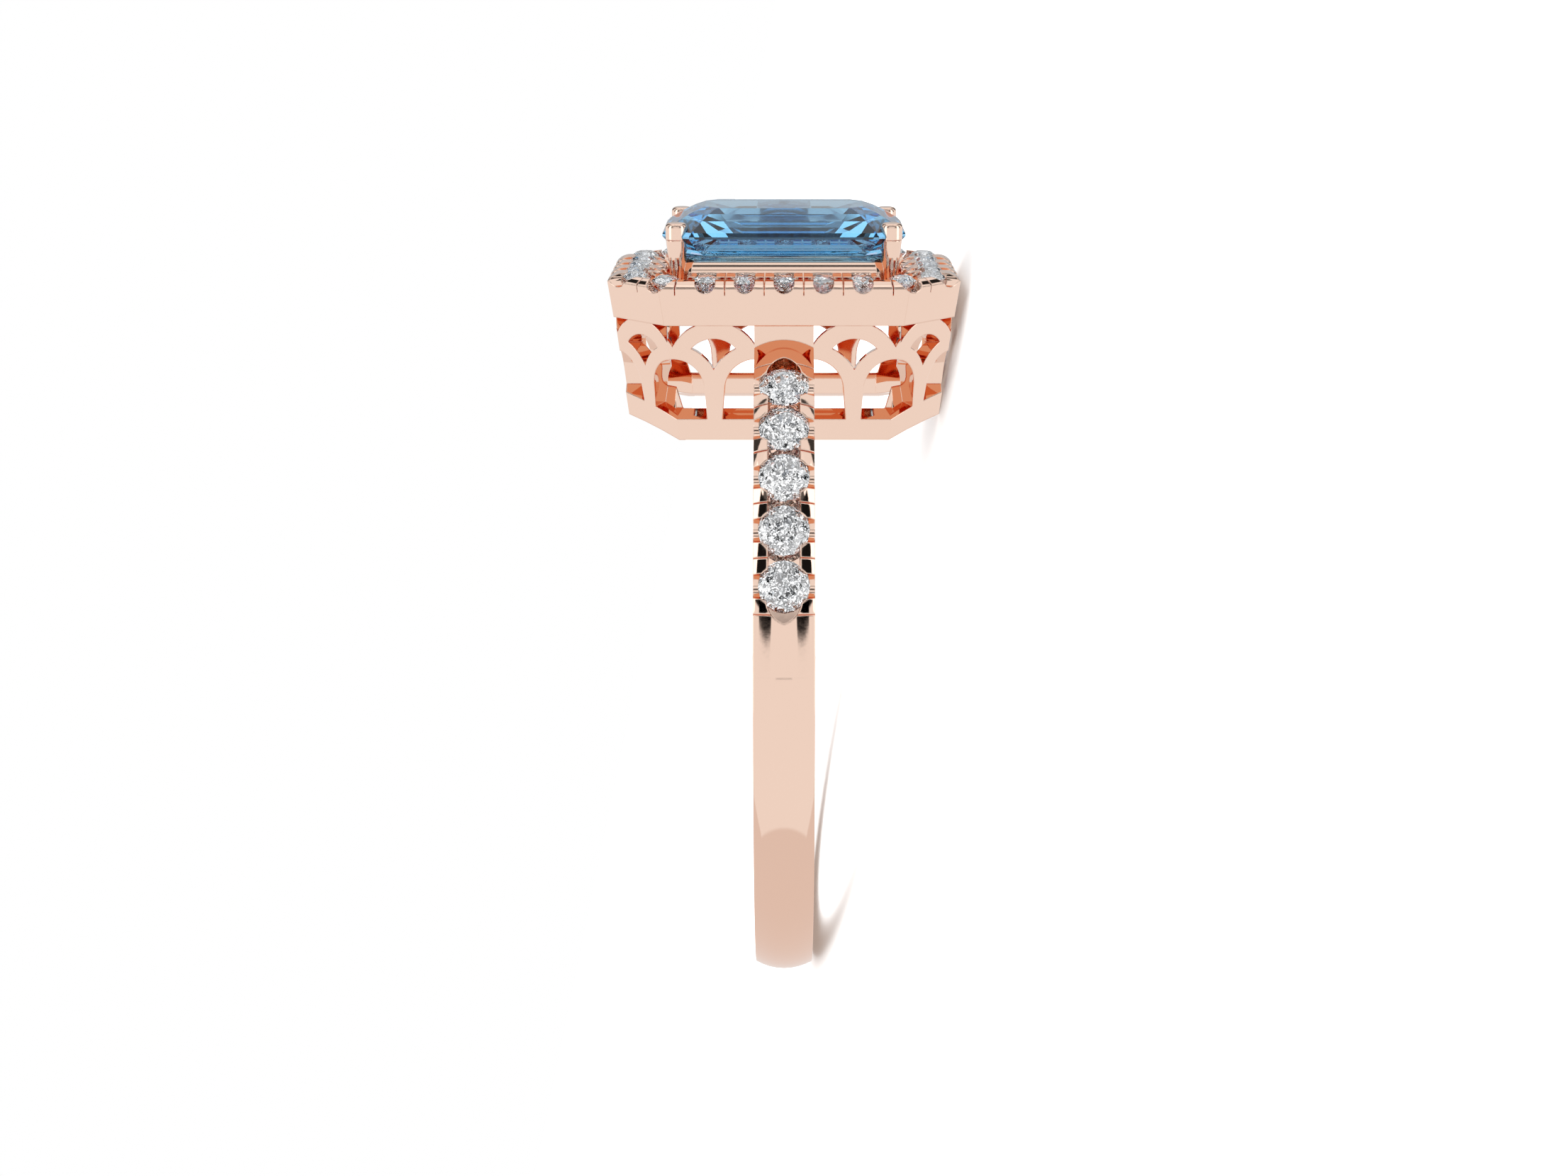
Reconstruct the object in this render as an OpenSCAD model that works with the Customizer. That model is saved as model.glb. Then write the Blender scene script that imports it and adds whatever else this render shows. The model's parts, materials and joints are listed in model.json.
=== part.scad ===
// Halo engagement ring: a rose-gold ring cast in one piece, with a blue emerald-cut centre
// stone in four claws, a halo of 24 round stones and five round stones down each shoulder.
//
// The ring is drawn upright about the centre of its finger hole: X runs along the finger,
// Y from the front shoulder (-Y) to the back one (+Y), and +Z goes up to the centre stone.
// At the end it is laid on its side, as it rests on a table: head towards +X, the finger
// hole's axis nearly upright, the origin under the middle of the ring on the table.

/* [Finger hole and band] */
// Radius of the finger hole
finger_r = 8.65; // [8.6:0.05:8.7]
// Width of the band along the finger
band_w = 1.8; // [1.7:0.05:1.9]
// Radius of the band's outside, at the crown of its dome
band_r = 10.4; // [10.2:0.05:10.5]
// Radius of the dome across the band
dome_r = 1.8; // [1.6:0.1:2.4]
// Radius of the plain bar that closes the band under the head
bridge_r = 9.8; // [9.6:0.05:10]

/* [Shoulders] */
// Radius of each shoulder's arc, at the crown of its dome
shoulder_r = 9.95; // [9.9:0.05:10]
// Height of the shoulder arcs' centre above the finger hole's
shoulder_rise = 1.9; // [1.8:0.05:2]
// Number of stones down each shoulder
shoulder_stones = 5; // [3:1:5]
// Diameter of a shoulder stone
shoulder_stone_d = 1.5; // [1.4:0.02:1.5]
// Angle of the first shoulder stone from the head
shoulder_first = 33.5; // [33.4:0.1:33.8]
// Angle from one shoulder stone to the next
shoulder_step = 9.53; // [9.4:0.02:9.6]
// Depth of the stones' girdles below the crown of the dome
shoulder_seat = 0.27; // [0.25:0.01:0.3]

/* [Gallery and halo] */
// Height of the halo's lower edge above the finger hole's centre
halo_z = 11.57; // [11.5:0.05:11.7]
// Height of the halo's top above its lower edge
halo_h = 1.36; // [1.33:0.01:1.4]
// Half length of the halo's lower edge, along X
halo_half_l = 5.27; // [5.2:0.01:5.3]
// Half width of the halo's lower edge, along Y
halo_half_w = 3.78; // [3.7:0.05:3.9]
// Leg of the corners' cut
corner_cut = 1.65; // [1.6:0.01:1.7]
// How much the halo's wall leans out for each millimetre up
halo_lean = 0.14; // [0.1:0.01:0.16]
// Radius of the rounded edges along the halo's top
halo_round = 0.6; // [0.5:0.02:0.7]
// How much the gallery's front and back lean out for each millimetre up
gallery_lean = 0.1; // [0.08:0.01:0.12]
// How much the gallery's short sides lean out for each millimetre up
side_lean = 0.12; // [0.1:0.01:0.14]
// Step from the halo's wall in to the gallery's
gallery_step = 0.03; // [0.02:0.01:0.05]
// Thickness of the gallery's wall
gallery_wall = 0.57; // [0.5:0.01:0.65]
// Half the distance between two arches on the front and back
arch_half = 1.25; // [1.2:0.01:1.27]
// Half the distance between two arches on the short sides
side_arch_half = 1.0; // [0.98:0.01:1.02]
// Width of the bars between the pierced openings
arch_bar = 0.5; // [0.46:0.01:0.52]
// Height of the bottom rail on the front, above the finger hole's centre
rail_z = 8.62; // [8.6:0.01:8.65]

/* [Halo stones] */
// Diameter of a halo stone
halo_stone_d = 0.9; // [0.84:0.02:0.92]
// Distance between two stones in a row along X
halo_pitch_l = 1.19; // [1.17:0.01:1.2]
// Distance between two stones in a row along Y
halo_pitch_w = 1.17; // [1.15:0.01:1.19]
// Half distance between the two rows along X
halo_row_y = 3.15; // [3.1:0.01:3.2]
// Half distance between the two rows along Y
halo_row_x = 4.52; // [4.5:0.01:4.6]
// Depth of the stones' girdles below the halo's top
halo_seat = 0.12; // [0.1:0.01:0.16]
// Width of the U-shaped cuts beside each stone
halo_notch_w = 0.61; // [0.55:0.01:0.64]
// Width of these cuts beside the stones at the corners
corner_notch_w = 0.8; // [0.7:0.01:0.84]

/* [Centre stone and its setting] */
// Length of the centre stone
centre_l = 7.5; // [7.4:0.05:7.6]
// Width of the centre stone
centre_w = 5.0; // [4.9:0.05:5.1]
// Height of the centre stone's girdle above the finger hole's centre
centre_z = 14.0; // [13.95:0.05:14.1]
// Height of the seat rail's top
seat_z = 13.45; // [13.4:0.01:13.47]
// Half length of the seat rail
seat_half_l = 3.4; // [3.35:0.01:3.45]
// Half width of the seat rail
seat_half_w = 2.4; // [2.35:0.01:2.42]
// Height of the claws' tips
claw_z = 14.46; // [14.42:0.01:14.5]
// Radius of a claw's cap
claw_cap_r = 0.335; // [0.32:0.005:0.35]

/* [Hidden] */
$fn = 96;
// Clearance round every stone
fit = 0.02;
tiny = 0.01;
// Longer than anything that it cuts or crosses
far = 30;
// Taller than the metal above the floor of a cut in it
above = 1;
// A corner's leg shrinks by this share of what the octagon's walls move in
leg_share = 2 - sqrt(2);
// Angle at which the band leaves its own arc and runs straight up to the shoulder's arc
meet = asin((band_r - shoulder_r) / shoulder_rise);
// Section of the band starts at this distance from its arc's centre, well inside the finger hole
section_start = 5;
// Core that joins the band's arc to the straight parts: how much lower it is and how far it overlaps
core_drop = 0.3;
core_overlap = 5;
bridge_angle = 40;

// Halo: derived sizes
halo_top = halo_z + halo_h;
halo_girdle_z = halo_top - halo_seat;
halo_notch_depth = 0.365;
halo_notch_l = 2.4;
halo_split_w = 0.035;
halo_split_depth = 0.42;
// How far a split turns for each share of the step that it is off the middle between its stones
halo_split_turn = 50;
halo_channel_w = 0.62;
halo_channel_depth = 0.45;
halo_inner_l = 3.72;
halo_inner_w = 2.43;
halo_inner_cut = 0.35;
// Flat middle of the halo's top: the roundings' centres lie this far inside its edges
halo_edge = 0.5;
halo_leans = [halo_lean, halo_lean, halo_lean * sqrt(2)];
floor_z = 12.3;

// Halo stones: place, the direction from +X in which the U-shaped cut runs, and the share of the
// step to the next stone at which the split lies, nearer to the corner stones of the long rows
function corner_sign(i, last) = i == -last ? -1 : i == last ? 1 : 0;
function split_share(i) = i == -3 ? 1 / 3 : i == 2 ? 2 / 3 : 1 / 2;
halo_places = concat(
    [for (i = [-3:3]) [i * halo_pitch_l, -halo_row_y, -90 + 30 * corner_sign(i, 3), split_share(i)]],
    [for (i = [-2:2]) [halo_row_x, i * halo_pitch_w, 22.5 * corner_sign(i, 2), 1 / 2]],
    [for (i = [3:-1:-3]) [i * halo_pitch_l, halo_row_y, 90 - 30 * corner_sign(i, 3), split_share(-i)]],
    [for (i = [2:-1:-2]) [-halo_row_x, i * halo_pitch_w, 180 - 22.5 * corner_sign(i, 2), 1 / 2]]
);
halo_count = len(halo_places);

// Shoulders: derived sizes
girdle_r = shoulder_r - shoulder_seat;
shoulder_notch_r = 0.36;
shoulder_notch_depth = 0.12;
shoulder_split_w = 0.035;
shoulder_split_depth = 0.32;
channel_w = 0.95;
channel_depth = 0.95;
channel_end_r = 0.75;
channel_end_half = 0.52;
channel_end_shift = 0.38;
shoulder_last = shoulder_first + (shoulder_stones - 1) * shoulder_step;
shoulder_start = 20;

// Gallery: heights of the pierced openings above the finger hole's centre
low_top = 10.54;
high_top = 11.17;
opening_gap = 0.29;
low_near = 0.85;
low_far = 3.39;
high_middle = 2.14;
low_flare = 0.08;
low_bar = 0.44;
high_share = 0.725;
top_share = 0.3;
below_z = finger_r - 3;
// From the halo's lower edge down to the inner edge of the bottom rail
rail_h = 2.8;
gallery_half_l = halo_half_l - gallery_step;
gallery_half_w = halo_half_w - gallery_step;
// The bottom rail's upper face is part of a cylinder along X, through rail_z on the front wall
sill_centre_z = 1.5;
sill_y = gallery_half_w - gallery_lean * (halo_z - rail_z);
sill_r = norm([rail_z - sill_centre_z, sill_y]);
gallery_leans = [side_lean, gallery_lean, gallery_lean * sqrt(2)];
// Gallery's lower corners, where the finger hole cuts it, and the corner's leg there
gallery_h = 3.12;
low_cut = corner_cut - (side_lean - gallery_lean) * gallery_h;
shank_half = band_w / 2;

// Seat rail and claws
seat_wall = 0.5;
seat_cut = 0.57;
seat_round = 0.5;
upright = [0, 0, 0];
claw_foot = [3.25, 2.0, 12.1];
claw_foot_r = 0.17;
claw_cap = [3.295, 2.06];
claw_cap_h = 0.51;
claw_cap_round = 0.14;

// Centre stone: each row is [inset from the girdle, height above the girdle, leg of the corner]
INSET = 0;
RISE = 1;
CUT = 2;
centre_levels = [
    [2.42, -1.75, 0.06],
    [1.70, -1.33, 0.30],
    [0.85, -0.76, 0.62],
    [0.30, -0.38, 0.78],
    [0.00, 0.00, 0.85],
    [0.00, 0.07, 0.85],
    [0.11, 0.18, 0.81],
    [0.58, 0.48, 0.66],
    [0.92, 0.66, 0.52],
    [1.28, 0.80, 0.38]
];

// Round stones, as shares of the girdle's radius: widths and heights of their rings of points
girdle_h = 0.05;
table_share = 0.56;
crown_share = 0.30;
star_share = 0.80;
pavilion_share = 0.86;
lower_share = 0.24;

function polar(r, angle, z) = [r * cos(angle), r * sin(angle), z];
// Heights in a round stone of diameter d above the lower edge of its girdle
function girdle_top(d) = girdle_h * d;
function table_height(d) = girdle_top(d) + crown_share * d / 2;
// The crown's main facets are planes from the table's edge down to the girdle
function star_height(d) = table_height(d)
    - crown_share * d / 2 * (star_share * cos(22.5) - table_share) / (1 - table_share);

// Resting on its side: the lower corners of the gallery and the band's far edge touch
corner_z = sqrt(pow(finger_r, 2) - pow(gallery_half_w - gallery_lean * gallery_h - low_cut, 2));
corner_x = gallery_half_l - side_lean * (halo_z - corner_z);
band_edge_r = band_r - dome_r + sqrt(pow(dome_r, 2) - pow(shank_half, 2));
rest_tilt = atan((corner_x - shank_half) / (corner_z + band_edge_r));
rest_drop = corner_x * cos(rest_tilt) - corner_z * sin(rest_tilt);
table_top = centre_levels[len(centre_levels) - 1];
reach_head = (centre_l / 2 - table_top[INSET]) * sin(rest_tilt)
    + (centre_z + table_top[RISE]) * cos(rest_tilt);
reach_band = (band_r - dome_r) * cos(rest_tilt) + dome_r;
rest_middle = (reach_head - reach_band) / 2;

module lay_on_side() {
    translate([-rest_middle, 0, rest_drop]) rotate([0, 90 - rest_tilt, 0]) children();
}

module front_and_back() {
    children();
    mirror([0, 1, 0]) children();
}

module left_and_right() {
    children();
    mirror([1, 0, 0]) children();
}

// Band

// Section of the band for an outside of radius r: distance from the arc's centre runs along X
module band_section(r) {
    intersection() {
        translate([section_start, -shank_half]) square([r - section_start, band_w]);
        union() {
            translate([r - dome_r, 0]) circle(r = dome_r);
            translate([0, -shank_half]) square([r - dome_r, band_w]);
        }
    }
}

// Turns a section's plane to an angle from the head, counted towards the front
module at_angle(angle) {
    rotate([0, 90, 0]) rotate([0, 0, 180 + angle]) children();
}

module band_arc(r, from, to) {
    at_angle(from) rotate_extrude(angle = to - from) band_section(r);
}

module shoulder_arm() {
    translate([0, 0, shoulder_rise]) {
        band_arc(shoulder_r, shoulder_start, 90 - meet);
        at_angle(90 - meet) rotate([90, 0, 0]) mirror([0, 0, 1])
            linear_extrude(shoulder_rise * cos(meet)) band_section(shoulder_r);
    }
}

module band_solid() {
    band_arc(band_r, 90 - meet, 270 + meet);
    band_arc(band_r - core_drop, 90 - meet - core_overlap, 270 + meet + core_overlap);
    band_arc(bridge_r, -bridge_angle, bridge_angle);
    front_and_back() shoulder_arm();
}

// Puts its children on the shoulder's arc, with +Z outwards, at an angle from the head
module on_shoulder(angle) {
    translate([0, 0, shoulder_rise]) rotate([angle, 0, 0]) translate([0, 0, girdle_r]) children();
}

// Round stones

// A cut stone about the middle of its girdle's lower edge: table, crown, girdle and pavilion
module round_stone(d) {
    r = d / 2;
    top = girdle_top(d);
    table_r = table_share * r;
    crown_z = table_height(d);
    star_r = star_share * r;
    star_z = star_height(d);
    lower_r = lower_share * r;
    culet_z = -pavilion_share * r;
    lower_z = culet_z * (1 - lower_r * cos(22.5) / r);
    table = [for (i = [0:7]) polar(table_r, 45 * i, crown_z)];
    star = [for (i = [0:7]) polar(star_r, 45 * i + 22.5, star_z)];
    upper = [for (i = [0:15]) polar(r, 22.5 * i, top)];
    under = [for (i = [0:15]) polar(r, 22.5 * i, 0)];
    lower = [for (i = [0:7]) polar(lower_r, 45 * i + 22.5, lower_z)];
    t0 = 0;
    s0 = 8;
    u0 = 16;
    g0 = 32;
    l0 = 48;
    culet = 56;
    polyhedron(
        points = concat(table, star, upper, under, lower, [[0, 0, culet_z]]),
        faces = concat(
            [[for (i = [7:-1:0]) t0 + i]],
            [for (i = [0:7]) [t0 + i, t0 + (i + 1) % 8, s0 + i]],
            [for (i = [0:7]) [t0 + i, s0 + i, u0 + 2 * i]],
            [for (i = [0:7]) [t0 + i, u0 + 2 * i, s0 + (i + 7) % 8]],
            [for (i = [0:7]) [s0 + i, u0 + 2 * i + 1, u0 + 2 * i]],
            [for (i = [0:7]) [s0 + i, u0 + (2 * i + 2) % 16, u0 + 2 * i + 1]],
            [for (i = [0:15]) [u0 + i, u0 + (i + 1) % 16, g0 + (i + 1) % 16, g0 + i]],
            [for (i = [0:7]) [g0 + 2 * i, g0 + 2 * i + 1, l0 + i]],
            [for (i = [0:7]) [g0 + 2 * i + 1, g0 + (2 * i + 2) % 16, l0 + i]],
            [for (i = [0:7]) [g0 + 2 * i, l0 + i, culet]],
            [for (i = [0:7]) [g0 + 2 * i, culet, l0 + (i + 7) % 8]]
        )
    );
}

// The room that a round stone needs in the metal, open above its table
module stone_seat(d) {
    r = d / 2;
    rotate_extrude() polygon([
        [0, -pavilion_share * r - 2 * fit],
        [r + fit, -fit],
        [r + fit, girdle_top(d) + fit],
        [star_share * r + 2 * fit, star_height(d) + fit],
        [table_share * r + 2 * fit, table_height(d) + fit],
        [table_share * r + 2 * fit, d],
        [0, d]
    ]);
}

// Puts its children at each shoulder stone of the front shoulder
module at_shoulder_stones() {
    for (i = [0:shoulder_stones - 1]) on_shoulder(shoulder_first + i * shoulder_step) children();
}

module channel_end_circle(side) {
    translate([side * (channel_end_r - channel_end_half), 0]) circle(r = channel_end_r);
}

// Pointed end of the shoulder's channel: what two circles have in common
module channel_end() {
    translate([0, 0, shoulder_seat - channel_depth]) linear_extrude(channel_depth + above) intersection() {
        channel_end_circle(-1);
        channel_end_circle(1);
    }
}

// Channel under the stones of the front shoulder, with its two pointed ends
module shoulder_channel() {
    translate([0, 0, shoulder_rise]) at_angle(shoulder_first)
        rotate_extrude(angle = shoulder_last - shoulder_first)
            translate([shoulder_r - channel_depth, -channel_w / 2])
                square([channel_depth + above, channel_w]);
    on_shoulder(shoulder_first) translate([0, channel_end_shift, 0]) channel_end();
    on_shoulder(shoulder_last) translate([0, -channel_end_shift, 0]) channel_end();
}

// U-shaped cuts across the shoulder beside its stones
module shoulder_notches() {
    at_shoulder_stones() translate([0, 0, shoulder_seat - shoulder_notch_depth])
        rotate([90, 0, 90]) linear_extrude(band_w + 1, center = true) {
            circle(r = shoulder_notch_r);
            translate([-shoulder_notch_r, 0]) square([2 * shoulder_notch_r, above]);
        }
}

// Fine cuts that split the metal between two stones into pairs of beads
module shoulder_splits() {
    for (i = [0:shoulder_stones]) on_shoulder(shoulder_first + (i - 0.5) * shoulder_step)
        translate([-band_w, -shoulder_split_w / 2, shoulder_seat - shoulder_split_depth])
            cube([2 * band_w, shoulder_split_w, shoulder_split_depth + above]);
}

// Octagons: each is four pairs of walls, and a section across one pair gives its lean and edges

module leaning_section(half, lean, z0, z1) {
    foot = half - lean * (z1 - z0);
    polygon([[-foot, z0], [foot, z0], [half, z1], [-half, z1]]);
}

// The same with its top rounded: a circle of radius round_r about a point inside each upper corner
module rounded_section(half, middle, lean, z0, z1, round_r) {
    intersection() {
        leaning_section(half, lean, z0, z1);
        union() {
            for (side = [-1, 1]) translate([side * middle, z1 - round_r]) circle(r = round_r);
            translate([-middle, z0]) square([2 * middle, z1 - z0]);
            translate([-half, z0]) square([2 * half, z1 - round_r - z0]);
        }
    }
}

// An upright opening whose upper edges fall in the same way from the middle of a rail
module flared_section(half, middle, z0, z1, round_r) {
    translate([-half, z0]) square([2 * half, z1 - z0 + 1]);
    difference() {
        translate([-middle, z1 - round_r]) square([2 * middle, round_r + 1]);
        for (side = [-1, 1]) translate([side * middle, z1 - round_r]) circle(r = round_r);
    }
}

// Walls across each of the four directions; half is the section's half width in that direction
module walls(turn) {
    rotate([0, 0, turn]) rotate([90, 0, 0]) linear_extrude(far, center = true) children();
}

function diagonal(half_l, half_w, cut) = (half_l + half_w - cut) / sqrt(2);

// The leans are those of the walls across the length, across the width and across the corners
module leaning_octagon(half_l, half_w, cut, leans, z0, z1) {
    half_d = diagonal(half_l, half_w, cut);
    intersection() {
        walls(0) leaning_section(half_l, leans[0], z0, z1);
        walls(90) leaning_section(half_w, leans[1], z0, z1);
        walls(45) leaning_section(half_d, leans[2], z0, z1);
        walls(-45) leaning_section(half_d, leans[2], z0, z1);
    }
}

// The same with its top edges rounded; the roundings' centres lie at edge inside the walls
module rounded_octagon(half_l, half_w, cut, leans, z0, z1, edge, round_r) {
    half_d = diagonal(half_l, half_w, cut);
    intersection() {
        walls(0) rounded_section(half_l, half_l - edge, leans[0], z0, z1, round_r);
        walls(90) rounded_section(half_w, half_w - edge, leans[1], z0, z1, round_r);
        walls(45) rounded_section(half_d, half_d - edge, leans[2], z0, z1, round_r);
        walls(-45) rounded_section(half_d, half_d - edge, leans[2], z0, z1, round_r);
    }
}

// The opening inside such a rail
module flared_octagon(half_l, half_w, cut, z0, z1, edge, round_r) {
    half_d = diagonal(half_l, half_w, cut);
    intersection() {
        walls(0) flared_section(half_l, half_l + edge, z0, z1, round_r);
        walls(90) flared_section(half_w, half_w + edge, z0, z1, round_r);
        walls(45) flared_section(half_d, half_d + edge, z0, z1, round_r);
        walls(-45) flared_section(half_d, half_d + edge, z0, z1, round_r);
    }
}

// Gallery

// Radii and centres of the arches, from half the distance between two of them
function low_r(half) = half - opening_gap;
function low_z(half) = low_top - low_r(half);
function high_r(half) = high_share * half;
function high_z(half) = high_top - high_r(half);

// Lower opening, open downwards to the rail and wider there by its flare
module low_opening(half, s, flare) {
    r = low_r(half);
    translate([s, low_z(half)]) circle(r = r);
    polygon([[s - r, low_z(half)], [s + r, low_z(half)], [s + r + flare, rail_z], [s + r + flare, below_z],
        [s - r - flare, below_z], [s - r - flare, rail_z]]);
}

// Upper opening: inside its arch and outside the bars of the two lower arches beside it
module high_opening(half, s) {
    difference() {
        translate([s, high_z(half)]) circle(r = high_r(half));
        for (side = [-1, 1]) translate([s + side * half, low_z(half)]) circle(r = low_r(half) + low_bar);
    }
}

// Opening under the halo between two arches whose middle is at s
module top_opening(half, s) {
    foot = high_z(half) + top_share * half;
    difference() {
        translate([s - half, foot]) square([2 * half, halo_z - foot]);
        for (side = [-1, 1]) translate([s + side * half, high_z(half)]) circle(r = high_r(half) + arch_bar);
    }
}

// Pierced pattern of one wall, kept between left and right: s runs along the wall and heights
// are above the finger hole's centre; the wall narrows downwards by narrowing on each side
module wall_pattern(half, lows, highs, flare, left, right, narrowing) {
    intersection() {
        union() {
            for (s = lows) {
                low_opening(half, s, flare);
                top_opening(half, s);
            }
            for (s = highs) high_opening(half, s);
        }
        polygon([[left, halo_z], [right, halo_z],
            [right - narrowing, below_z], [left + narrowing, below_z]]);
    }
}

// Stands a pattern on a wall whose upper edge has its middle at (x, y), square to the wall's lean
module pierce(x, y, turn, lean) {
    translate([x, y, halo_z]) rotate([0, 0, turn]) rotate([90 - atan(lean), 0, 0])
        translate([0, -halo_z, 0]) linear_extrude(4 * gallery_wall, center = true) children();
}

module gallery_openings() {
    long_half = gallery_half_l - corner_cut;
    short_half = gallery_half_w - corner_cut;
    corner_half = corner_cut / sqrt(2);
    narrowing = gallery_lean * (halo_z - below_z);
    corner_x = gallery_half_l - corner_cut / 2;
    corner_y = corner_cut / 2 - gallery_half_w;
    difference() {
        union() {
            front_and_back() left_and_right() {
                pierce(0, -gallery_half_w, 0, gallery_lean) intersection() {
                    wall_pattern(arch_half, [low_near, low_far], [high_middle], low_flare,
                        -long_half, long_half, narrowing);
                    translate([shank_half, 0]) square([long_half, 2 * halo_z]);
                }
                pierce(corner_x, corner_y, 45, gallery_leans[2])
                    wall_pattern(arch_half, [-arch_half, arch_half], [0], low_flare,
                        -corner_half, corner_half, 0);
            }
            left_and_right() pierce(gallery_half_l, 0, 90, side_lean)
                wall_pattern(side_arch_half, [-2 * side_arch_half, 0, 2 * side_arch_half],
                    [-side_arch_half, side_arch_half], 0, -short_half, short_half, narrowing);
        }
        translate([0, 0, sill_centre_z]) rotate([0, 90, 0]) cylinder(r = sill_r, h = far, center = true);
    }
}

module gallery_solid() {
    inner_l = gallery_half_l - gallery_wall;
    inner_w = gallery_half_w - gallery_wall;
    inner_cut = corner_cut - leg_share * gallery_wall;
    rail_top = halo_z - rail_h + above;
    difference() {
        leaning_octagon(gallery_half_l, gallery_half_w, corner_cut, gallery_leans, below_z, halo_z + tiny);
        leaning_octagon(inner_l, inner_w, inner_cut, gallery_leans, below_z - 1, halo_z);
        // The bottom rail is upright inside
        leaning_octagon(inner_l - side_lean * rail_h, inner_w - gallery_lean * rail_h,
            inner_cut - (side_lean - gallery_lean) * rail_h, upright, below_z - 1, rail_top);
        gallery_openings();
    }
}

// Halo

module halo_cuts() {
    for (i = [0:halo_count - 1]) {
        here = halo_places[i];
        next = halo_places[(i + 1) % halo_count];
        step = norm([next[0] - here[0], next[1] - here[1]]);
        way = atan2(next[1] - here[1], next[0] - here[0]);
        share = here[3];
        notch_r = (here[2] % 90 == 0 ? halo_notch_w : corner_notch_w) / 2;
        translate([here[0], here[1], halo_girdle_z]) stone_seat(halo_stone_d);
        translate([here[0], here[1], halo_top - halo_notch_depth + notch_r]) rotate([0, 0, here[2]]) {
            rotate([0, 90, 0]) cylinder(r = notch_r, h = halo_notch_l, center = true);
            translate([-halo_notch_l / 2, -notch_r, 0]) cube([halo_notch_l, 2 * notch_r, above]);
        }
        translate([here[0], here[1], halo_top - halo_channel_depth]) rotate([0, 0, way])
            translate([0, -halo_channel_w / 2, 0]) cube([step, halo_channel_w, above]);
        translate([here[0], here[1], halo_top - halo_split_depth]) rotate([0, 0, way])
            translate([share * step, 0, 0]) rotate([0, 0, halo_split_turn * (share - 1 / 2) - 90])
                translate([-halo_notch_l / 2, -halo_split_w / 2, 0])
                    cube([halo_notch_l, halo_split_w, above]);
    }
}

module halo_solid() {
    top_l = halo_half_l + halo_lean * halo_h;
    top_w = halo_half_w + halo_lean * halo_h;
    difference() {
        rounded_octagon(top_l, top_w, corner_cut, halo_leans, halo_z, halo_top, halo_edge, halo_round);
        flared_octagon(halo_inner_l, halo_inner_w, halo_inner_cut,
            floor_z, halo_top, halo_edge, halo_round);
        halo_cuts();
    }
}

// Centre stone and its setting

function octagon_level(level, grow) = let (
    l = centre_l / 2 - level[INSET] + grow,
    w = centre_w / 2 - level[INSET] + grow,
    c = level[CUT] + leg_share * grow,
    z = centre_z + level[RISE]
) [[l, w - c, z], [l - c, w, z], [c - l, w, z], [-l, w - c, z],
   [-l, c - w, z], [c - l, -w, z], [l - c, -w, z], [l, c - w, z]];

// The step-cut stone, or the room that it needs when grow is over 0
module step_cut(grow) {
    rings = len(centre_levels);
    polyhedron(
        points = [for (level = centre_levels) each octagon_level(level, grow)],
        faces = concat(
            [[for (i = [0:7]) i]],
            [[for (i = [7:-1:0]) 8 * (rings - 1) + i]],
            [for (k = [0:rings - 2]) for (i = [0:7])
                [8 * k + i, 8 * k + 8 + i, 8 * k + 8 + (i + 1) % 8, 8 * k + (i + 1) % 8]]
        )
    );
}

module claw() {
    shoulder = [claw_cap[0], claw_cap[1], claw_z - claw_cap_h];
    lean = shoulder - claw_foot;
    length = norm(lean);
    translate(claw_foot) rotate([0, acos(lean[2] / length), atan2(lean[1], lean[0])])
        cylinder(r1 = claw_foot_r, r2 = claw_cap_r - tiny, h = length);
    translate(shoulder) rotate_extrude() {
        square([claw_cap_r, claw_cap_h - claw_cap_round]);
        square([claw_cap_r - claw_cap_round, claw_cap_h]);
        translate([claw_cap_r - claw_cap_round, claw_cap_h - claw_cap_round]) intersection() {
            circle(r = claw_cap_round);
            square(claw_cap_round);
        }
    }
}

module centre_setting() {
    rail_l = seat_half_l - seat_wall;
    rail_w = seat_half_w - seat_wall;
    rail_cut = seat_cut - leg_share * seat_wall;
    difference() {
        union() {
            difference() {
                rounded_octagon(seat_half_l, seat_half_w, seat_cut, upright,
                    halo_z, seat_z, seat_round, seat_round);
                leaning_octagon(rail_l, rail_w, rail_cut, upright, halo_z - 1, seat_z + 1);
            }
            front_and_back() left_and_right() claw();
        }
        step_cut(fit);
    }
}

// The nodes, upright

module finger_hole() {
    rotate([0, 90, 0]) cylinder(r = finger_r, h = far, center = true);
}

// Gallery and halo, open from the finger hole to the centre stone
module head_solid() {
    difference() {
        union() {
            gallery_solid();
            halo_solid();
        }
        leaning_octagon(seat_half_l - seat_wall / 2, seat_half_w - seat_wall / 2,
            seat_cut - leg_share * seat_wall / 2, upright, halo_z - above, halo_top + above);
        finger_hole();
    }
}

// Band with its shoulders cut for the stones, one kind of cut at a time because they cross
module set_band() {
    difference() {
        difference() {
            difference() {
                difference() {
                    band_solid();
                    finger_hole();
                    front_and_back() shoulder_channel();
                }
                front_and_back() shoulder_notches();
            }
            front_and_back() at_shoulder_stones() stone_seat(shoulder_stone_d);
        }
        front_and_back() shoulder_splits();
    }
}

module upright_mount() {
    set_band();
    head_solid();
    centre_setting();
}

module ring_mount() {
    color("#e8b89c") lay_on_side() upright_mount();
}

module centre_stone() {
    color("#5a96c8") lay_on_side() step_cut(0);
}

module halo_stone(i) {
    color("#eef2f5") lay_on_side()
        translate([halo_places[i][0], halo_places[i][1], halo_girdle_z]) round_stone(halo_stone_d);
}

module shoulder_stone(i) {
    on_shoulder(shoulder_first + i * shoulder_step) round_stone(shoulder_stone_d);
}

module front_shoulder_stone(i) {
    color("#eef2f5") lay_on_side() shoulder_stone(i);
}

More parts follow.
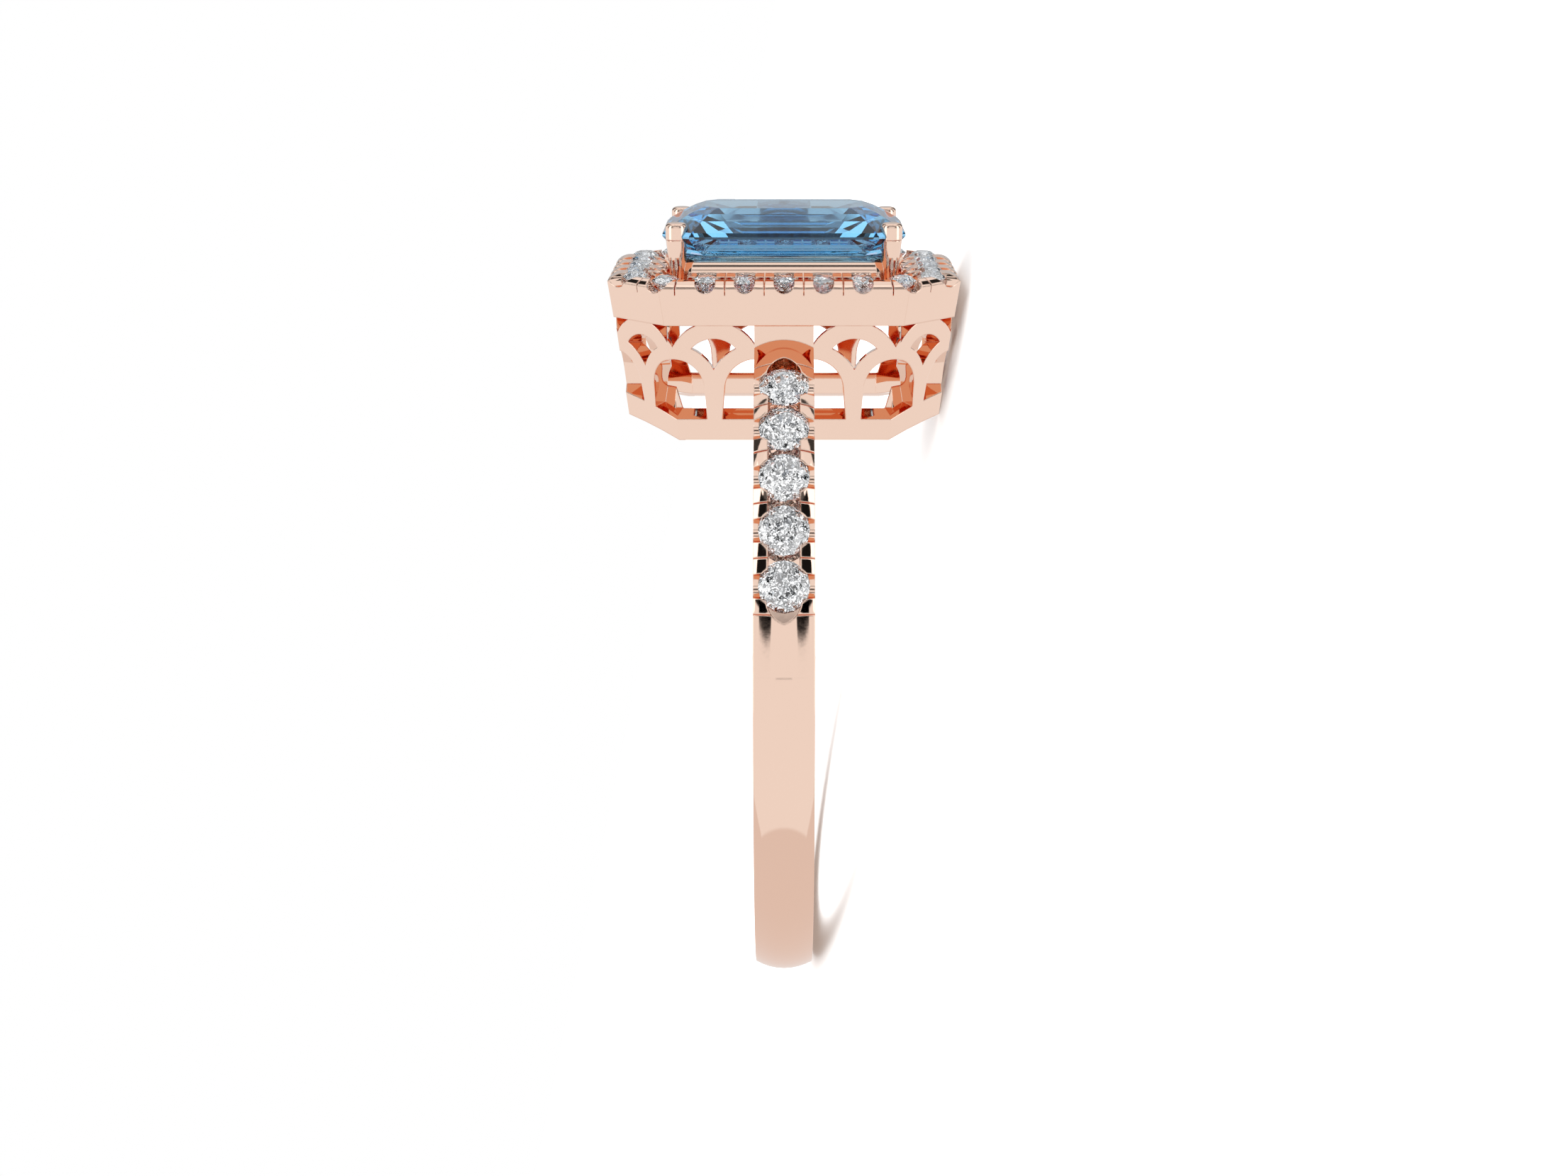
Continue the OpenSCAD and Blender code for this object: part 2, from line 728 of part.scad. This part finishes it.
module back_shoulder_stone(i) {
    color("#eef2f5") lay_on_side() mirror([0, 1, 0]) shoulder_stone(i);
}

ring_mount();
centre_stone();
for (i = [0:halo_count - 1])
    halo_stone(i);
for (i = [0:shoulder_stones - 1])
    front_shoulder_stone(i);
for (i = [0:shoulder_stones - 1])
    back_shoulder_stone(i);
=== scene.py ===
# %% [markdown]
# A halo engagement ring, lying on its side on a white table. The metal and the stones come from the
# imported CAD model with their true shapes, so this lesson is about what makes such a small bright
# thing look real: what it mirrors, how its edges catch the light, and how light runs through the
# stones. The first cell loads the model as a fixed frame. Everything is in metres.

# %% Load the ring
import json
import math

import bmesh
import bpy
from mathutils import Matrix, Vector

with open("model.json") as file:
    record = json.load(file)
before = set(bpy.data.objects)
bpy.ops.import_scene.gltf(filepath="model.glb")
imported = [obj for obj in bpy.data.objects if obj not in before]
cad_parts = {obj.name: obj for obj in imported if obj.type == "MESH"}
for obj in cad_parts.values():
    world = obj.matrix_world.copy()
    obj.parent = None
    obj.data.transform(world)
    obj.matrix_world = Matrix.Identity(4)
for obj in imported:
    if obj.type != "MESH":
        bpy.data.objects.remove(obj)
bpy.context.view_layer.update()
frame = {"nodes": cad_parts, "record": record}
nodes = frame["nodes"]
MM = 0.001

# %% [markdown]
# The finger hole gives the ring its own directions. The record states the middle of the hole and
# its axis. A finger runs along "finger", the head with its stones points along "head", and "side"
# runs from the front shoulder to the back one. The camera and the studio are placed along these
# three, because the picture looks at the ring and not at the table.

# %% Directions of the ring
hole = frame["record"]["mounts"][0]
middle = Vector(hole["pos_m"])
finger = -Vector(hole["axis"]).normalized()
side = Vector((0, 1, 0))
head = finger.cross(side)
print("head points along", [round(v, 3) for v in head])

# %% [markdown]
# The camera looks along the band from the front shoulder, a little from above the head, with the
# finger running across the picture. The ring stands upright in the picture while it really lies on
# its side, so the camera is rolled with it. Its place and lens come from matching edges of the
# ring: 71 mm in front of the finger hole, 23 mm towards the head, looking down by 16.4 degrees.
# Light is passed on between the many small mirrors of the metal and the stones, and each pass
# between two gold faces makes it a deeper orange, so rays may take more turns than usual.

# %% Camera
CAMERA_FRONT = 70.754 * MM
CAMERA_RISE = 23.004 * MM
CAMERA_PITCH = math.radians(16.38)
CAMERA_LENS = 51.28
SENSOR_WIDTH = 36
NEAREST_SEEN = 5 * MM
RAY_TURNS = {"max_bounces": 16, "glossy_bounces": 12, "transmission_bounces": 16}

look = side * math.cos(CAMERA_PITCH) - head * math.sin(CAMERA_PITCH)
camera_up = side * math.sin(CAMERA_PITCH) + head * math.cos(CAMERA_PITCH)
camera_data = bpy.data.cameras.new("camera")
camera_data.lens = CAMERA_LENS
camera_data.sensor_width = SENSOR_WIDTH
camera_data.clip_start = NEAREST_SEEN
camera = bpy.data.objects.new("camera", camera_data)
turned = Matrix((finger, camera_up, -look)).transposed().to_4x4()
place = Matrix.Translation(middle - side * CAMERA_FRONT + head * CAMERA_RISE)
camera.matrix_world = place @ turned
bpy.context.scene.collection.objects.link(camera)
bpy.context.scene.camera = camera
bpy.context.scene.view_settings.view_transform = "Standard"
for name, most in RAY_TURNS.items():
    setattr(bpy.context.scene.cycles, name, most)
print("camera above the table by", round(camera.location.z / MM, 1), "mm")

# %% [markdown]
# Every look below is a small tree of nodes. A few helpers keep these trees short: one adds a node,
# one feeds a socket with either a link or a fixed value, and the others each stand for a step that
# comes up again and again, such as a sum, a soft step or a blend of two colours.

# %% Small helpers for node trees
def add_node(tree, kind, **settings):
    node = tree.nodes.new(kind)
    for name, value in settings.items():
        setattr(node, name, value)
    return node


def feed(tree, socket, value):
    if isinstance(value, bpy.types.NodeSocket):
        tree.links.new(value, socket)
    else:
        socket.default_value = value


def calculate(tree, operation, *values):
    node = add_node(tree, "ShaderNodeMath", operation=operation)
    for socket, value in zip(node.inputs, values):
        feed(tree, socket, value)
    return node.outputs[0]


def calculate_vector(tree, operation, *values):
    node = add_node(tree, "ShaderNodeVectorMath", operation=operation)
    for socket, value in zip(node.inputs, values):
        feed(tree, socket, value)
    return node


def ramp_between(tree, value, start, end):
    """0 below start and 1 above end, or the other way round, with a soft change between."""
    node = add_node(tree, "ShaderNodeMapRange", interpolation_type="SMOOTHSTEP")
    feed(tree, node.inputs["Value"], value)
    node.inputs["From Min"].default_value = start
    node.inputs["From Max"].default_value = end
    return node.outputs["Result"]


def blend_colours(tree, share, first, second):
    node = add_node(tree, "ShaderNodeMix", data_type="RGBA")
    feed(tree, node.inputs[0], share)
    feed(tree, node.inputs[6], first)
    feed(tree, node.inputs[7], second)
    return node.outputs[2]


def clouds(tree, place, scale, detail):
    """Soft irregular patches between 0 and 1."""
    node = add_node(tree, "ShaderNodeTexNoise")
    node.inputs["Scale"].default_value = scale
    node.inputs["Detail"].default_value = detail
    tree.links.new(place, node.inputs["Vector"])
    return node.outputs["Fac"]


print("helpers ready")

# %% [markdown]
# Polished metal has hardly any look of its own: it shows the room. Jewellery is photographed in a
# white tent with a few dark flags, and their narrow black mirror images give the metal its edges
# and the stones their contrast. Here the tent is the world. Its brightness is worked out from the
# direction of a ray, measured in the ring's own directions: turn is the angle away from the
# camera's side, and rise is the angle towards the head.
#
# In front of the ring hangs one large white sheet, from 46 degrees below the level of the finger
# hole upwards, and shorter at the sides. The table lies below it, a shade darker and warmer. Over
# the sheet hang panels and flags, which draw the thin lines along the rounded edges. Each row of
# the list is one of them: from which turn to which, from which rise to which, and how bright it is.
# Later rows lie over earlier ones. One black flag leans, because the rounded band below the stones
# mirrors a lower place at its sides than in its middle.

# %% The tent
PANELS = (
    ((-1, 58), (12, 20), 0.45),
    ((-1, 58), (20, 37), 1.05),
    ((-1, 58), (37, 53), 0.12),
    ((-1, 70), (53, 68), 1.05),
    ((-1, 70), (68, 83), 0.35),
    ((56, 80), (-8, 45), 1.9),
    ((36, 56), (15, 29), 0.01),
    ((46, 62), (33, 43), 0.01),
    ((47, 56), (8, 12), 0.01),
    ((84, 98), (-2, 62), 0.05),
    ((107, 110), (30, 65), 0.05),
    ((126, 150), (6, 50), 0.02),
    ((150, 181), (-10, 30), 0.55),
    ((-1, 181), (83, 91), 1.25),
)
PANEL_SOFT = 0.5
LEANING_TURNS = (27, 48)
LEANING_RISES = (11.6, 17)
LEANING_SOFT = 0.25
LEAN_OF_FLAG = 0.125
SHEET_FOOT = -46
SIDE_FOOT = -26
SIDE_TURNS = (53, 57)
FOOT_SOFT = 1
WHITE = (1.0, 1.0, 1.0, 1)
BLACK = (0.0, 0.0, 0.0, 1)
TABLE_WHITE = (0.86, 0.79, 0.76, 1)

world = bpy.data.worlds.new("tent")
world.use_nodes = True
bpy.context.scene.world = world
tree = world.node_tree
tree.nodes.clear()
ray = add_node(tree, "ShaderNodeTexCoord").outputs["Generated"]


def along(direction):
    return calculate_vector(tree, "DOT_PRODUCT", ray, direction).outputs["Value"]


def window(value, span, soft=PANEL_SOFT):
    """1 where value lies inside span, 0 outside it."""
    start = ramp_between(tree, value, span[0] - soft, span[0] + soft)
    end = ramp_between(tree, value, span[1] + soft, span[1] - soft)
    return calculate(tree, "MULTIPLY", start, end)


turn = calculate(tree, "ARCTAN2", along(finger), along(-side))
turn = calculate(tree, "DEGREES", calculate(tree, "ABSOLUTE", turn))
rise = calculate(tree, "DEGREES", calculate(tree, "ARCSINE", along(head)))
at_side = ramp_between(tree, turn, *SIDE_TURNS)
shorter = calculate(tree, "MULTIPLY", at_side, SIDE_FOOT - SHEET_FOOT)
foot = calculate(tree, "ADD", SHEET_FOOT, shorter)
over_foot = calculate(tree, "SUBTRACT", rise, foot)
on_sheet = ramp_between(tree, over_foot, -FOOT_SOFT, FOOT_SOFT)
tent = blend_colours(tree, on_sheet, TABLE_WHITE, WHITE)
for turns, rises, brightness in PANELS:
    share = calculate(tree, "MULTIPLY", window(turn, turns), window(rise, rises))
    tent = blend_colours(tree, share, tent, (brightness, brightness, brightness, 1))
leaning = calculate(tree, "ADD", rise, calculate(tree, "MULTIPLY", turn, LEAN_OF_FLAG))
between = window(leaning, LEANING_RISES, LEANING_SOFT)
share = calculate(tree, "MULTIPLY", window(turn, LEANING_TURNS), between)
tent = blend_colours(tree, share, tent, BLACK)
print("tent has", len(PANELS) + 1, "panels and flags")

# %% [markdown]
# A camera ray that misses the ring sees plain white, and so do the rays that light the table, a
# little stronger so that the open table comes out white in the picture. Rays mirrored a second time
# between gold faces see a plain pale tent, so that recesses glow, and only the first mirror image
# shows the flags. Light that reaches the eye through a stone has met dark and light stripes, from
# low to high, so that each facet stands out from the next. Light Path tells these rays apart.

# %% World output
TABLE_LIGHT = 2.4
SECOND_WHITE = (0.92, 0.92, 0.92, 1)
SECOND_MIRROR = 2.5
STRIPE_RATE = 0.42
STRIPE_SHIFT = 0.6
STRIPE_EDGE = (-0.45, 0.2)
STRIPE_DARK = (0.01, 0.01, 0.01, 1)
STRIPE_LIGHT = (1.8, 1.8, 1.8, 1)

rays = add_node(tree, "ShaderNodeLightPath").outputs
again = calculate(tree, "GREATER_THAN", rays["Ray Depth"], SECOND_MIRROR)
again = calculate(tree, "MULTIPLY", again, rays["Is Glossy Ray"])
tent = blend_colours(tree, again, tent, SECOND_WHITE)
phase = calculate(tree, "MULTIPLY", rise, STRIPE_RATE)
wave = calculate(tree, "SINE", calculate(tree, "SUBTRACT", phase, STRIPE_SHIFT))
stripes = blend_colours(tree, ramp_between(tree, wave, *STRIPE_EDGE), STRIPE_DARK, STRIPE_LIGHT)
tent = blend_colours(tree, rays["Is Transmission Ray"], tent, stripes)
plain = calculate(tree, "MAXIMUM", rays["Is Camera Ray"], rays["Is Diffuse Ray"])
stronger = calculate(tree, "MULTIPLY", rays["Is Diffuse Ray"], TABLE_LIGHT - 1)
background = add_node(tree, "ShaderNodeBackground")
feed(tree, background.inputs["Color"], blend_colours(tree, plain, tent, WHITE))
feed(tree, background.inputs["Strength"], calculate(tree, "ADD", 1.0, stronger))
output = add_node(tree, "ShaderNodeOutputWorld")
tree.links.new(background.outputs[0], output.inputs["Surface"])
print("world nodes:", len(tree.nodes))

# %% [markdown]
# The table is one wide sheet under the ring. It is white and matt, so that it holds a soft shadow
# where the ring touches it. Mirrored rays pass it by and see the tent below the horizon instead,
# which is almost the same white without noise.

# %% Table
TABLE_HALF = 3.0
TABLE_PARTS = 4
PAPER = (0.9, 0.9, 0.9, 1)


def new_material(name):
    material = bpy.data.materials.new(name)
    material.use_nodes = True
    return material, material.node_tree, material.node_tree.nodes["Principled BSDF"]


paper, tree, shader = new_material("matt_white")
shader.inputs["Base Color"].default_value = PAPER
shader.inputs["Roughness"].default_value = 0.9
shader.inputs["Specular IOR Level"].default_value = 0.0

mesh = bpy.data.meshes.new("table")
form = bmesh.new()
bmesh.ops.create_grid(form, x_segments=TABLE_PARTS, y_segments=TABLE_PARTS, size=TABLE_HALF)
form.to_mesh(mesh)
form.free()
mesh.materials.append(paper)
table = bpy.data.objects.new("table", mesh)
bpy.context.scene.collection.objects.link(table)
table.visible_glossy = False
table.visible_transmission = False
print("table", 2 * TABLE_HALF, "m across")

# %% [markdown]
# Rose gold is gold with copper. It is polished on every face, so its roughness is low, and its
# colour is in its mirror image. Where gold is mirrored in gold, as inside the pierced gallery, the
# colour is painted a deeper orange: Light Path tells such rays apart and they meet a deeper base
# colour, a painted reflection. Seen through a stone the seats are painted pale, a painted
# reflection too. Cast and filed edges are never razor sharp: they are worn round by polishing and
# catch a thin line of light. The Bevel node gives every edge such a rounding in the shading, 0.05
# mm wide. Very fine polishing marks vary the roughness.

# %% Rose gold
GOLD = (0.865, 0.64, 0.525, 1)
GOLD_WARM = (0.845, 0.62, 0.505, 1)
GOLD_PAINTED_REFLECTION = (0.85, 0.40, 0.23, 1)
GOLD_PAINTED_PALE = (0.80, 0.82, 0.85, 1)
GOLD_PATCHES = 220
MARK_SCALE = 9000
MARK_HEIGHT = 0.02 * MM
MARK_STRENGTH = 0.004
MARK_ROUGHNESS = (0.02, 0.06)
EDGE_ROUND = 0.05 * MM
EDGE_SAMPLES = 6
IN_STONE = 0.5

rose_gold, tree, shader = new_material("polished_rose_gold")
spot = add_node(tree, "ShaderNodeTexCoord").outputs["Object"]
rays = add_node(tree, "ShaderNodeLightPath").outputs
colour = blend_colours(tree, clouds(tree, spot, GOLD_PATCHES, 2), GOLD, GOLD_WARM)
# Painted reflection: a ray mirrored from other gold meets a deeper orange base colour.
colour = blend_colours(tree, rays["Is Glossy Ray"], colour, GOLD_PAINTED_REFLECTION)
# Painted reflection: seen through a stone, the gold seats are painted a pale grey.
through = calculate(tree, "GREATER_THAN", rays["Transmission Depth"], IN_STONE)
colour = blend_colours(tree, through, colour, GOLD_PAINTED_PALE)
feed(tree, shader.inputs["Base Color"], colour)
marks = clouds(tree, spot, MARK_SCALE, 3)
rough = add_node(tree, "ShaderNodeMapRange")
tree.links.new(marks, rough.inputs["Value"])
rough.inputs["To Min"].default_value = MARK_ROUGHNESS[0]
rough.inputs["To Max"].default_value = MARK_ROUGHNESS[1]
tree.links.new(rough.outputs["Result"], shader.inputs["Roughness"])
worn = add_node(tree, "ShaderNodeBevel", samples=EDGE_SAMPLES)
worn.inputs["Radius"].default_value = EDGE_ROUND
waves = add_node(tree, "ShaderNodeBump")
waves.inputs["Strength"].default_value = MARK_STRENGTH
waves.inputs["Distance"].default_value = MARK_HEIGHT
tree.links.new(marks, waves.inputs["Height"])
tree.links.new(worn.outputs["Normal"], waves.inputs["Normal"])
tree.links.new(waves.outputs["Normal"], shader.inputs["Normal"])
shader.inputs["Metallic"].default_value = 1.0
print("rose gold:", len(tree.nodes), "nodes")

# %% [markdown]
# A diamond bends light more than any other clear stone, with an index of 2.42. Light that enters
# its table is thrown back out by the pavilion, so its face is a mosaic of small white, grey and
# dark pictures of the tent. A real brilliant has 57 facets, each seen again in the others. The
# modelled ones have fewer, so a cell pattern tilts the surface a little, another way in each cell,
# which splits every facet into several flashes. A share of the finish is a plain mirror, because
# much of the sparkle would be lost between the few rays of a pixel. The faces meet in sharp edges,
# so the stones are shaded flat.

# %% Diamond
FLASH_CELLS = 5200
FLASH_TILT = 0.55

diamond, tree, shader = new_material("diamond")
spot = add_node(tree, "ShaderNodeTexCoord").outputs["Object"]
facing = add_node(tree, "ShaderNodeNewGeometry").outputs["Normal"]
cells = add_node(tree, "ShaderNodeTexVoronoi")
cells.inputs["Scale"].default_value = FLASH_CELLS
tree.links.new(spot, cells.inputs["Vector"])
centred = calculate_vector(tree, "SUBTRACT", cells.outputs["Color"], (0.5, 0.5, 0.5)).outputs[0]
tilt = (FLASH_TILT, FLASH_TILT, FLASH_TILT)
tilted = calculate_vector(tree, "MULTIPLY_ADD", centred, tilt, facing).outputs[0]
feed(tree, shader.inputs["Normal"], calculate_vector(tree, "NORMALIZE", tilted).outputs[0])
shader.inputs["Metallic"].default_value = 0.1
shader.inputs["Base Color"].default_value = (0.97, 0.975, 0.98, 1)
shader.inputs["Roughness"].default_value = 0.0
shader.inputs["IOR"].default_value = 2.42
shader.inputs["Transmission Weight"].default_value = 1.0
print("diamond index", round(shader.inputs["IOR"].default_value, 2))

# %% [markdown]
# The centre stone is a blue topaz, cut in steps. Its colour grows with the way that the light takes
# through it: the volume swallows red most and blue least, so thin places are pale and long ways
# through the stone are deep blue. Its faces carry a part of the blue too, a little stronger in some
# zones, as grown crystals have. In the photo the sills below it mirror gold and not the stone. So,
# mirrored in metal over a millimetre away, and only there, the stone is painted as a mirror of the
# deeper gold: a painted reflection.

# %% Blue stone
BLUE_LEFT = (0.08, 0.57, 0.77, 1)
BLUE_DENSITY = 250
BLUE_PALE = (0.66, 0.84, 0.95, 1)
BLUE_STRONG = (0.50, 0.74, 0.90, 1)
BLUE_ZONES = 500
MIRROR_GAP = 1.0 * MM

blue_stone, tree, shader = new_material("blue_stone")
spot = add_node(tree, "ShaderNodeTexCoord").outputs["Object"]
rays = add_node(tree, "ShaderNodeLightPath").outputs
tint = blend_colours(tree, clouds(tree, spot, BLUE_ZONES, 1), BLUE_PALE, BLUE_STRONG)
outside = calculate(tree, "LESS_THAN", rays["Transmission Depth"], IN_STONE)
far = calculate(tree, "GREATER_THAN", rays["Ray Length"], MIRROR_GAP)
mirrored = calculate(tree, "MULTIPLY", rays["Is Glossy Ray"], outside)
mirrored = calculate(tree, "MULTIPLY", mirrored, far)
# Painted reflection: in metal's mirror images from over a millimetre away, the stone is painted as
# a gold mirror.
feed(tree, shader.inputs["Base Color"], blend_colours(tree, mirrored, tint, GOLD_PAINTED_REFLECTION))
feed(tree, shader.inputs["Metallic"], mirrored)
shader.inputs["Roughness"].default_value = 0.0
shader.inputs["IOR"].default_value = 1.62
shader.inputs["Transmission Weight"].default_value = 1.0
depth = add_node(tree, "ShaderNodeVolumeAbsorption")
depth.inputs["Color"].default_value = BLUE_LEFT
depth.inputs["Density"].default_value = BLUE_DENSITY
tree.links.new(depth.outputs["Volume"], tree.nodes["Material Output"].inputs["Volume"])
print("blue stone index", round(shader.inputs["IOR"].default_value, 2))

# %% [markdown]
# The CAD meshes are loose triangles with hard faces. The stones stay so. The metal's curved faces
# must look smooth, while its real edges stay crisp: a small geometry node group merges the doubled
# points, shades everything smooth and marks the edges over 28 degrees as sharp, and also those
# that don't join exactly two faces. It is a modifier, so the CAD mesh itself is not changed.

# %% Smooth metal, crisp edges
SHARP_ANGLE = math.radians(28)
SAME_POINT = 0.0005 * MM
FACES_OF_AN_EDGE = 2

group = bpy.data.node_groups.new("smooth_metal", "GeometryNodeTree")
for way in ("INPUT", "OUTPUT"):
    group.interface.new_socket("Geometry", in_out=way, socket_type="NodeSocketGeometry")
start = add_node(group, "NodeGroupInput")
end = add_node(group, "NodeGroupOutput")
angle = add_node(group, "GeometryNodeInputMeshEdgeAngle")
small = add_node(group, "FunctionNodeCompare", data_type="FLOAT", operation="LESS_THAN")
feed(group, small.inputs[0], angle.outputs["Unsigned Angle"])
feed(group, small.inputs[1], SHARP_ANGLE)
beside = add_node(group, "GeometryNodeInputMeshEdgeNeighbors")
joined = add_node(group, "FunctionNodeCompare", data_type="INT", operation="EQUAL")
feed(group, joined.inputs[2], beside.outputs["Face Count"])
feed(group, joined.inputs[3], FACES_OF_AN_EDGE)
both = add_node(group, "FunctionNodeBooleanMath", operation="AND")
feed(group, both.inputs[0], small.outputs["Result"])
feed(group, both.inputs[1], joined.outputs["Result"])
merge = add_node(group, "GeometryNodeMergeByDistance")
feed(group, merge.inputs["Distance"], SAME_POINT)
faces = add_node(group, "GeometryNodeSetShadeSmooth", domain="FACE")
edges = add_node(group, "GeometryNodeSetShadeSmooth", domain="EDGE")
feed(group, merge.inputs["Geometry"], start.outputs[0])
feed(group, faces.inputs["Geometry"], merge.outputs[0])
feed(group, edges.inputs["Geometry"], faces.outputs[0])
feed(group, edges.inputs["Shade Smooth"], both.outputs[0])
feed(group, end.inputs[0], edges.outputs[0])

smooth_metal = nodes["ring_mount"].modifiers.new("smooth_metal", "NODES")
smooth_metal.node_group = group
print("metal faces:", len(nodes["ring_mount"].data.polygons))

# %% [markdown]
# Every part now gets its finish: the mount is metal, the centre stone is blue, and all the small
# round stones are diamonds.

# %% Finishes
OWN_FINISH = {"ring_mount": rose_gold, "centre_stone": blue_stone}

for name, part in nodes.items():
    finish = OWN_FINISH.get(name, diamond)
    part.data.materials.clear()
    part.data.materials.append(finish)
    if finish is not rose_gold:
        part.data.shade_flat()
print("diamonds:", sum(part.data.materials[0] is diamond for part in nodes.values()))
